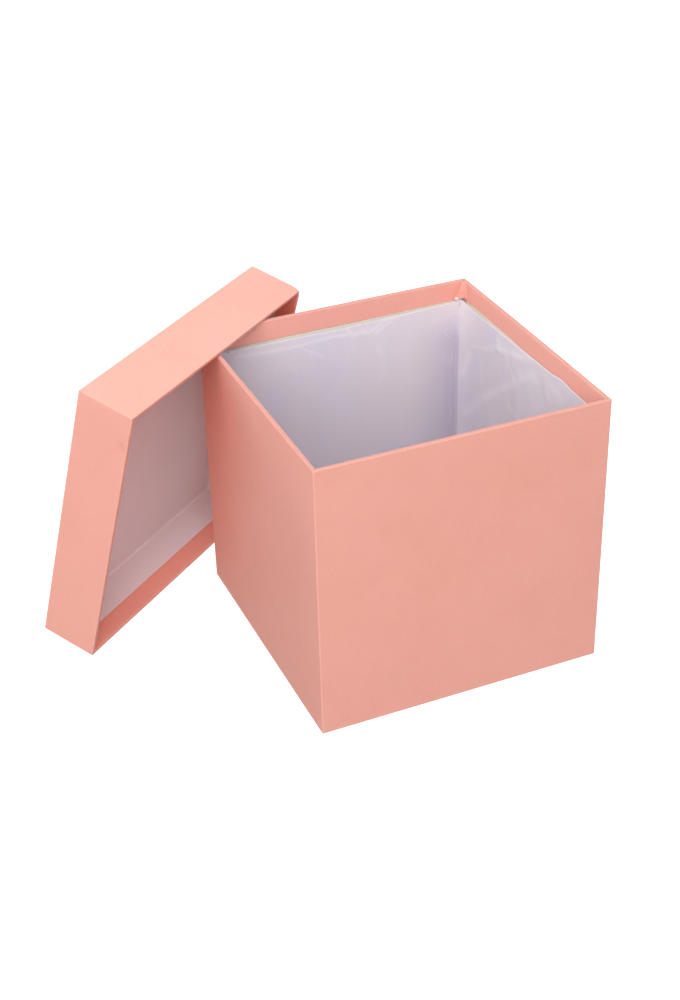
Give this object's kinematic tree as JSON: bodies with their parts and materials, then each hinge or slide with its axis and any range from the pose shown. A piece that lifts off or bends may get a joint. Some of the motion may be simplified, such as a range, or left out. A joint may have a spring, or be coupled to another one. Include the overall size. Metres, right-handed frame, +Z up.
{
  "type": "flower box",
  "caption": "Square rigid paper box for flower arrangements, pink outside and lined with film inside, with a loose telescoping lid leaning on its rim.",
  "frame": {"origin": "centre of the box's base, on the surface that the box stands on", "axes": "+X right along the front wall, +Y to the back, +Z up; the lid leans on the back left corner"},
  "size_m": [0.3347, 0.301, 0.2097],
  "materials": {
    "greyboard": "bare grey pulp board",
    "kraft_tape": "gummed kraft paper",
    "pink_paper": "matt coated salmon pink paper",
    "lining_paper": "uncoated white paper",
    "film_tape": "double-sided adhesive tape",
    "liner_film": "milky translucent polyethylene film"
  },
  "bodies": {
    "box": {"base_board": "greyboard", "front_board": "greyboard", "right_board": "greyboard", "back_board": "greyboard", "left_board": "greyboard", "corner_stay_front_left": "kraft_tape", "corner_stay_front_right": "kraft_tape", "corner_stay_back_right": "kraft_tape", "corner_stay_back_left": "kraft_tape", "wall_wrap": "pink_paper", "base_sheet": "pink_paper", "wall_lining": "lining_paper", "floor_lining": "lining_paper", "film_tape_front": "film_tape", "film_tape_right": "film_tape", "film_tape_back": "film_tape", "film_tape_left": "film_tape", "film_liner": "liner_film"},
    "lid": {"lid_panel_board": "greyboard", "lid_upper_board": "greyboard", "lid_lower_board": "greyboard", "lid_near_board": "greyboard", "lid_far_board": "greyboard", "lid_stay_lower_near": "kraft_tape", "lid_stay_lower_far": "kraft_tape", "lid_stay_upper_far": "kraft_tape", "lid_stay_upper_near": "kraft_tape", "lid_wrap_panel": "pink_paper", "lid_wrap_lower": "pink_paper", "lid_wrap_far": "pink_paper", "lid_wrap_upper": "pink_paper", "lid_wrap_near": "pink_paper", "lid_lining": "lining_paper"}
  },
  "joints": [
    {"name": "lid_lift", "type": "slide", "parent": "box", "child": "lid", "axis": [0, 0, 1], "range_m": [0, 0.23]}
  ]
}
